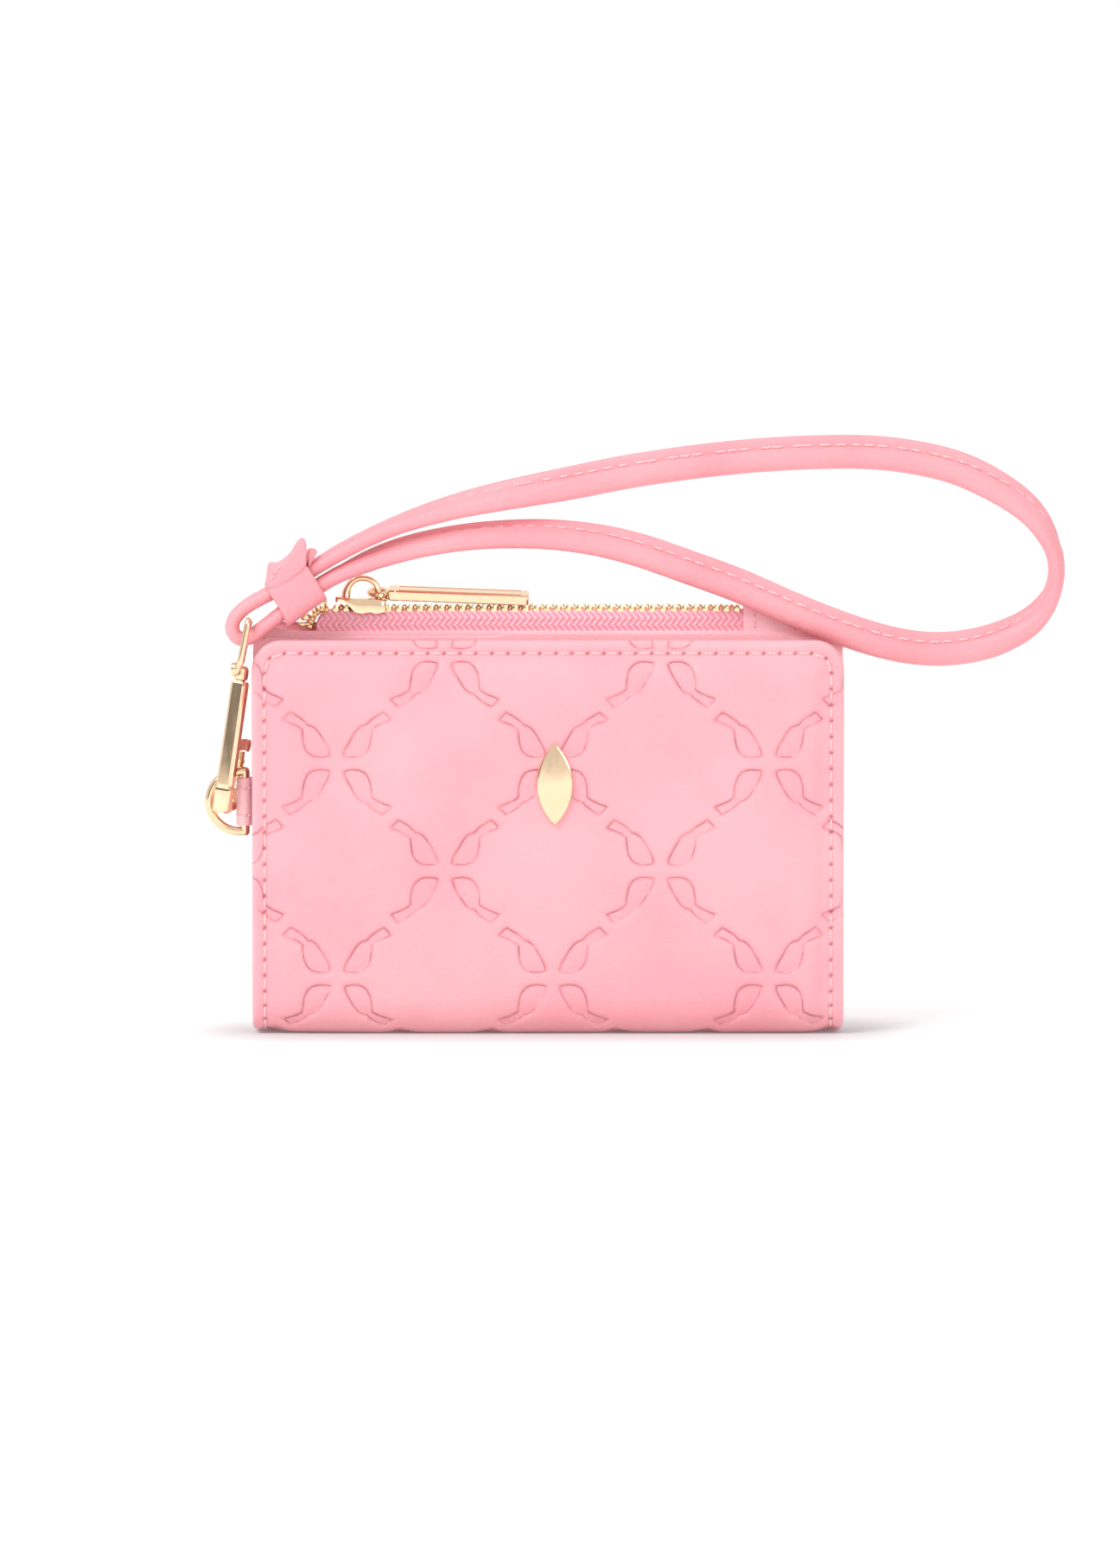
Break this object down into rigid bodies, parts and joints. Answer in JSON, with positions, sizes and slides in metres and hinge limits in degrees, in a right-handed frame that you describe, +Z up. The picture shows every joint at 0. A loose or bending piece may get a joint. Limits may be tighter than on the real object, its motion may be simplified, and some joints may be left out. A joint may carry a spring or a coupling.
{
  "type": "wristlet wallet",
  "caption": "Small bifold leather wallet with a zipped coin pocket, a hinged front flap, a D-ring, a swivel snap hook and a looped wrist strap.",
  "frame": {"origin": "middle of the flat underside of the fold that the wallet stands on", "axes": "+X right along the width, +Y from the flap to the back half, +Z up"},
  "size_m": [0.1745, 0.0195, 0.1214],
  "materials": {
    "leather": "smooth pink leather, satin",
    "lining": "pink grosgrain lining",
    "zip_tape": "woven herringbone tape",
    "gold": "polished pale gold plating",
    "steel": "spring steel",
    "thread": "waxed polyester thread",
    "padding": "non-woven filler",
    "board": "bonded leather board"
  },
  "bodies": {
    "fold": {"fold_spine": "leather", "fold_lining": "lining"},
    "back_half": {"back_outer_panel": "leather", "back_board": "board", "coin_pocket_lining_rear": "lining", "coin_pocket_lining_front": "lining", "pocket_front_panel": "leather", "slip_pocket": "lining", "zip_tape_front": "zip_tape", "zip_tape_rear": "zip_tape", "zip_teeth_front": "gold", "zip_teeth_rear": "gold", "zip_end_stop": "gold", "zip_end_tab": "leather", "d_ring_tab": "leather", "back_stitching": "thread"},
    "flap": {"flap_outer_panel": "leather", "flap_padding": "padding", "flap_board": "board", "flap_lining": "lining", "card_slot_1": "lining", "card_slot_2": "lining", "card_slot_3": "lining", "flap_stitching": "thread", "emblem": "gold", "emblem_washer": "gold"},
    "slider": {"zip_slider": "gold"},
    "puller": {"zip_puller": "gold"},
    "d_ring": {"d_ring": "gold"},
    "swivel": {"swivel_eye": "gold"},
    "hook": {"hook_body": "gold", "gate_pin": "gold", "gate_spring": "steel"},
    "gate": {"hook_gate": "gold"},
    "strap": {"wrist_strap": "leather", "strap_core": "padding", "strap_keeper": "leather"}
  },
  "joints": [
    {"name": "flap_fold", "type": "hinge", "parent": "fold", "child": "flap", "pos_m": [0, -0.00765, 0.00155], "axis": [1, 0, 0], "range_deg": [0, 88], "deforming": ["fold_spine", "fold_lining"]},
    {"name": "back_fold", "type": "hinge", "parent": "fold", "child": "back_half", "pos_m": [0, 0.00765, 0.00155], "axis": [-1, 0, 0], "range_deg": [0, 88], "deforming": ["fold_spine", "fold_lining"]},
    {"name": "zip_slide", "type": "slide", "parent": "back_half", "child": "slider", "axis": [1, 0, 0], "range_m": [0, 0.072]},
    {"name": "puller_swing", "type": "hinge", "parent": "slider", "child": "puller", "pos_m": [-0.0377, 0.00505, 0.0893], "axis": [0, -1, 0], "range_deg": [0, 150]},
    {"name": "d_ring_swing", "type": "hinge", "parent": "back_half", "child": "d_ring", "pos_m": [-0.0616, -0.0005, 0.0469], "axis": [0, 0, 1], "range_deg": [-28, 4]},
    {"name": "clasp_swing", "type": "hinge", "parent": "back_half", "child": "swivel", "pos_m": [-0.06504, -0.0005, 0.04563], "axis": [0, -1, 0], "range_deg": [0, 90]},
    {"name": "hook_swivel", "type": "hinge", "parent": "swivel", "child": "hook", "pos_m": [-0.0663, -0.0036, 0.0448], "axis": [0.1444, 0, 0.9895], "range_deg": [-3, 14]},
    {"name": "gate_swing", "type": "hinge", "parent": "hook", "child": "gate", "pos_m": [-0.06206, 0.0026, 0.05823], "axis": [-0.9299, 0.342, 0.1357], "range_deg": [0, 13], "stiffness_Nm_per_rad": 0.002, "springref_deg": -17.19},
    {"name": "strap_swing", "type": "hinge", "parent": "swivel", "child": "strap", "pos_m": [-0.0606, -0.0036, 0.084], "axis": [0, -1, 0], "range_deg": [0, 150]}
  ]
}
